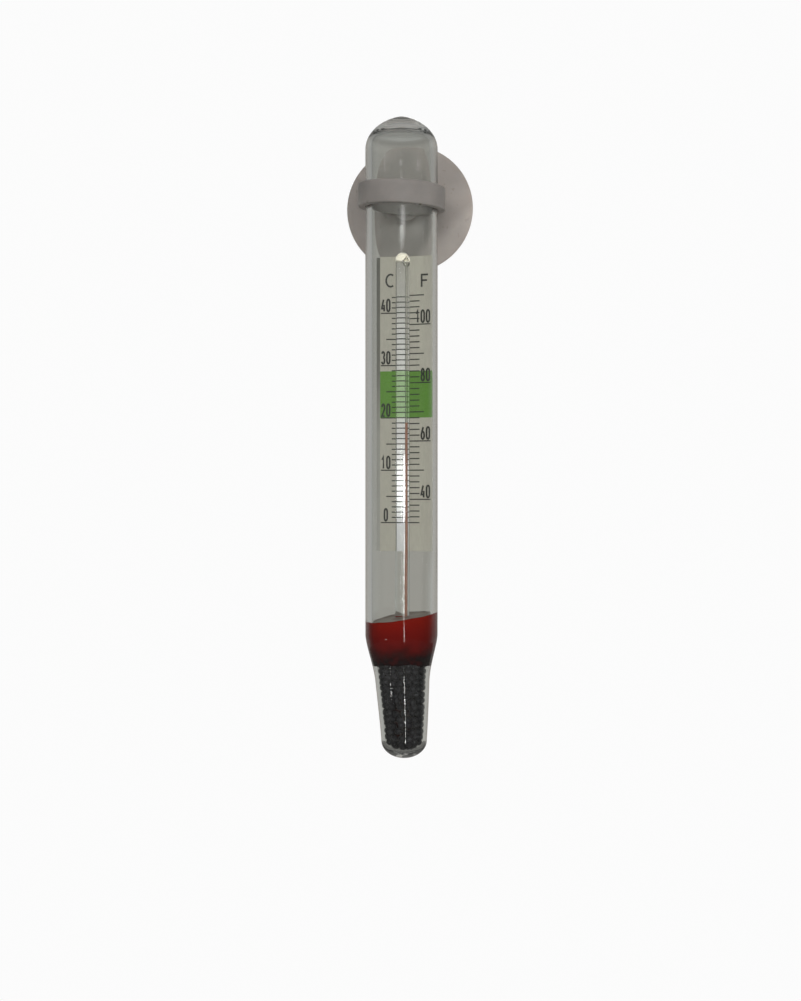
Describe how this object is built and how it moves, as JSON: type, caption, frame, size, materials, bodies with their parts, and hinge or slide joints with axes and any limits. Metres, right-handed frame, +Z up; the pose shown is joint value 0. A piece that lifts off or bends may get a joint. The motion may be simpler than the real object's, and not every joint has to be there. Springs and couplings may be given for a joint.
{
  "type": "aquarium thermometer",
  "caption": "Sealed glass spirit thermometer with a printed card, red wax and black shot in its nose, held by the ring of a one-piece suction cup.",
  "frame": {"origin": "centre of the suction cup's sealing plane, level with the middle of the ring that holds the tube", "axes": "+Z up along the glass tube, +Y into the pane that the cup sticks to, +X to the right of someone reading the scale"},
  "size_m": [0.0226, 0.02, 0.11],
  "materials": {
    "grey_vinyl": "satin",
    "clear_glass": "gloss",
    "red_spirit": "gloss",
    "scale_paper": "matte",
    "red_wax": "satin",
    "black_shot": "satin"
  },
  "bodies": {
    "holder": {"suction_cup": "grey_vinyl"},
    "tube_carrier": {"glass_seal_tip": "clear_glass"},
    "thermometer": {"glass_envelope": "clear_glass", "capillary_stem": "clear_glass", "capillary_bulb": "clear_glass", "bulb_spirit": "red_spirit", "spirit_column": "red_spirit", "scale_card": "scale_paper", "wax_plug": "red_wax", "ballast_shot": "black_shot"},
    "thread": {"spirit_thread": "red_spirit"}
  },
  "joints": [
    {"name": "tube_slide", "type": "slide", "parent": "holder", "child": "tube_carrier", "axis": [0, 0, 1], "range_m": [-0.006, 0.072]},
    {"name": "tube_turn", "type": "hinge", "parent": "tube_carrier", "child": "thermometer", "pos_m": [0, -0.0125, 0], "axis": [0, 0, 1], "continuous": true},
    {"name": "spirit_rise", "type": "slide", "parent": "thermometer", "child": "thread", "axis": [0, 0, 1], "range_m": [-0.01714, 0.02166], "deforming": ["spirit_column"]}
  ]
}
